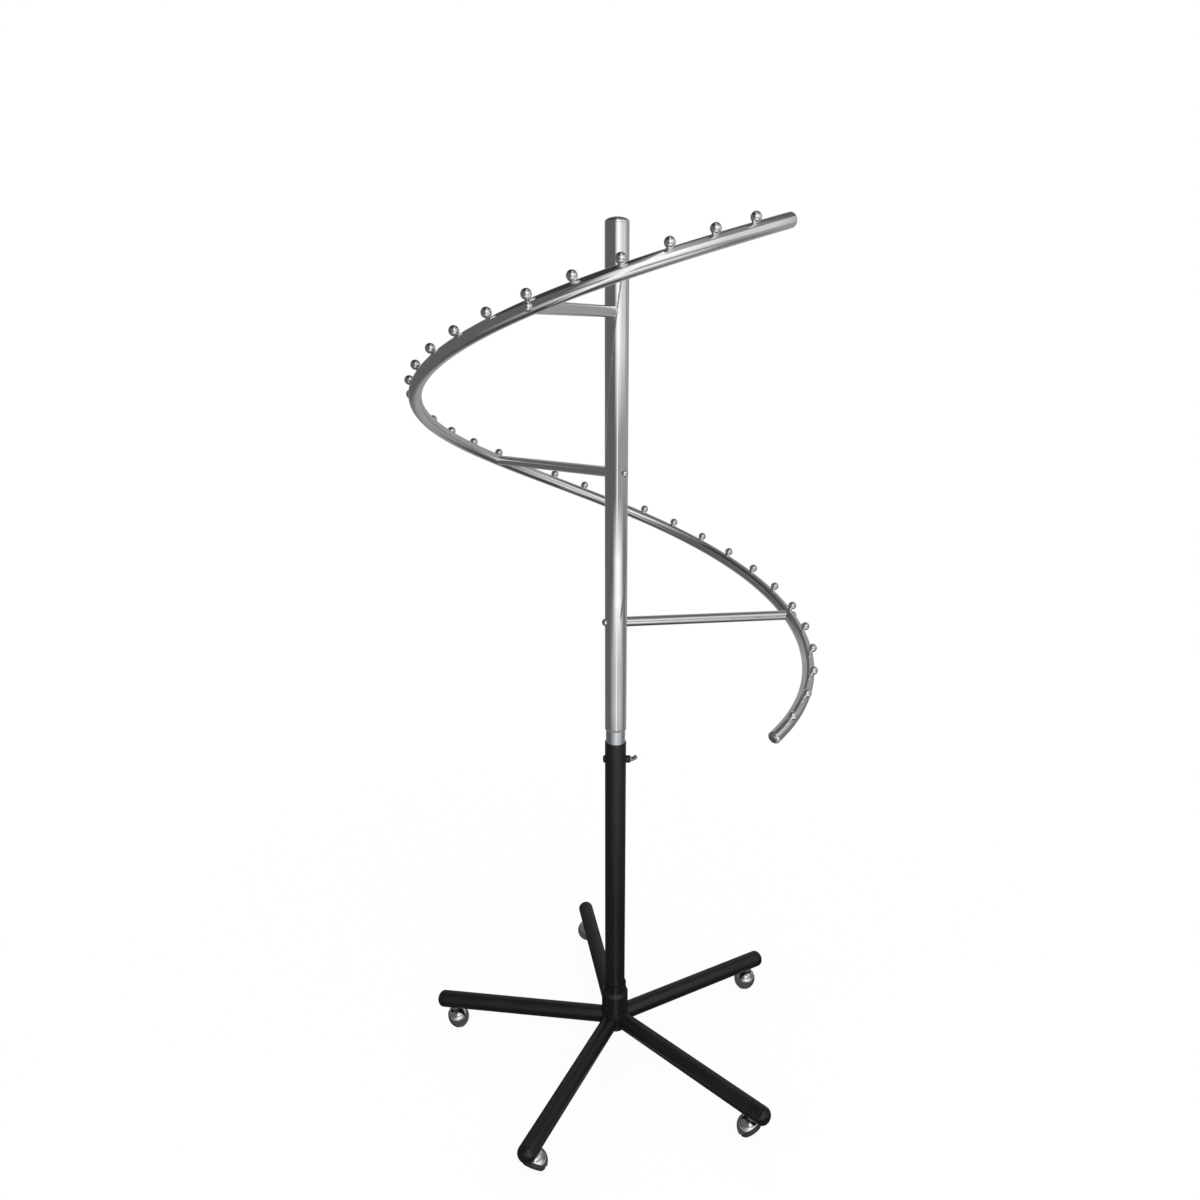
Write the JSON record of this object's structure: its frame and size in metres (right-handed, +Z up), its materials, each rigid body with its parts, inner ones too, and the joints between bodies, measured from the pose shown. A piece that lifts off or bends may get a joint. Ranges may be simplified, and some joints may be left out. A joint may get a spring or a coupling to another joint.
{
  "type": "rotating spiral garment rack",
  "caption": "Free-standing spiral garment rack: a chromed rail with ball stops winds round a turning mast, on a height-adjustable post and a black star base with swivel casters.",
  "frame": {"origin": "on the mast's axis at floor level, under the hub", "axes": "+Z up along the mast; -Y towards the front of the picture; +X to its right, the clamp lever's side"},
  "size_m": [0.7692, 0.7516, 1.6766],
  "materials": {
    "chrome": "polished",
    "satin_chrome": "satin",
    "steel": "zinc plated",
    "black_coat": "semi-gloss powder coat",
    "black_plastic": "moulded, slightly glossy",
    "rubber": "matt",
    "nylon": "natural"
  },
  "bodies": {
    "base": {"hub_sleeve": "black_coat", "hub_collar": "black_plastic", "base_bolt": "steel", "column_nut": "steel", "lower_tube": "black_coat", "clamp_boss": "black_coat", "steady_screw": "black_plastic", "leg_1": "black_coat", "leg_plug_1": "black_plastic", "caster_socket_1": "nylon", "leg_2": "black_coat", "leg_plug_2": "black_plastic", "caster_socket_2": "nylon", "leg_3": "black_coat", "leg_plug_3": "black_plastic", "caster_socket_3": "nylon", "leg_4": "black_coat", "leg_plug_4": "black_plastic", "caster_socket_4": "nylon", "leg_5": "black_coat", "leg_plug_5": "black_plastic", "caster_socket_5": "nylon"},
    "post": {"inner_post": "satin_chrome", "post_plug": "nylon", "thrust_ball": "steel"},
    "carousel": {"mast_tube": "chrome", "mast_cap": "chrome", "mast_bearing_plug": "nylon", "lower_bush": "nylon", "upper_bush": "nylon", "spiral_rail": "chrome", "rail_plug_top": "chrome", "rail_plug_bottom": "chrome", "arm_upper": "chrome", "mast_bolt_upper": "chrome", "rail_bolt_upper": "chrome", "arm_middle": "chrome", "mast_bolt_middle": "chrome", "rail_bolt_middle": "chrome", "arm_lower": "chrome", "mast_bolt_lower": "chrome", "rail_bolt_lower": "chrome"},
    "clamp": {"clamp_screw": "steel", "clamp_lever": "steel"},
    "caster_1": {"caster_hood_1": "chrome", "caster_axle_1": "steel"},
    "wheel_1": {"caster_wheel_1": "rubber"},
    "caster_2": {"caster_hood_2": "chrome", "caster_axle_2": "steel"},
    "wheel_2": {"caster_wheel_2": "rubber"},
    "caster_3": {"caster_hood_3": "chrome", "caster_axle_3": "steel"},
    "wheel_3": {"caster_wheel_3": "rubber"},
    "caster_4": {"caster_hood_4": "chrome", "caster_axle_4": "steel"},
    "wheel_4": {"caster_wheel_4": "rubber"},
    "caster_5": {"caster_hood_5": "chrome", "caster_axle_5": "steel"},
    "wheel_5": {"caster_wheel_5": "rubber"}
  },
  "joints": [
    {"name": "height_slide", "type": "slide", "parent": "base", "child": "post", "axis": [0, 0, 1], "range_m": [-0.025, 0.3]},
    {"name": "mast_turn", "type": "hinge", "parent": "post", "child": "carousel", "pos_m": [0, 0, 0.93261], "axis": [0, 0, 1], "continuous": true},
    {"name": "clamp_turn", "type": "hinge", "parent": "base", "child": "clamp", "pos_m": [0.0293, 0, 0.68001], "axis": [1, 0, 0], "range_deg": [0, 360]},
    {"name": "caster_swivel_1", "type": "hinge", "parent": "base", "child": "caster_1", "pos_m": [-0.35662, 0.04126, 0.047], "axis": [0, 0, 1], "continuous": true},
    {"name": "wheel_spin_1", "type": "hinge", "parent": "caster_1", "child": "wheel_1", "pos_m": [-0.35546, 0.04113, 0.01778], "axis": [-0.7024, 0.0813, -0.7071], "continuous": true},
    {"name": "caster_swivel_2", "type": "hinge", "parent": "base", "child": "caster_2", "pos_m": [-0.14944, -0.32642, 0.047], "axis": [0, 0, 1], "continuous": true},
    {"name": "wheel_spin_2", "type": "hinge", "parent": "caster_2", "child": "wheel_2", "pos_m": [-0.14896, -0.32535, 0.01778], "axis": [-0.2944, -0.6429, -0.7071], "continuous": true},
    {"name": "caster_swivel_3", "type": "hinge", "parent": "base", "child": "caster_3", "pos_m": [0.26426, -0.243, 0.047], "axis": [0, 0, 1], "continuous": true},
    {"name": "wheel_spin_3", "type": "hinge", "parent": "caster_3", "child": "wheel_3", "pos_m": [0.2634, -0.24221, 0.01778], "axis": [0.5205, -0.4786, -0.7071], "continuous": true},
    {"name": "caster_swivel_4", "type": "hinge", "parent": "base", "child": "caster_4", "pos_m": [0.31277, 0.17623, 0.047], "axis": [0, 0, 1], "continuous": true},
    {"name": "wheel_spin_4", "type": "hinge", "parent": "caster_4", "child": "wheel_4", "pos_m": [0.31174, 0.17566, 0.01778], "axis": [0.616, 0.3471, -0.7071], "continuous": true},
    {"name": "caster_swivel_5", "type": "hinge", "parent": "base", "child": "caster_5", "pos_m": [-0.07096, 0.35192, 0.047], "axis": [0, 0, 1], "continuous": true},
    {"name": "wheel_spin_5", "type": "hinge", "parent": "caster_5", "child": "wheel_5", "pos_m": [-0.07073, 0.35077, 0.01778], "axis": [-0.1398, 0.6932, -0.7071], "continuous": true}
  ]
}
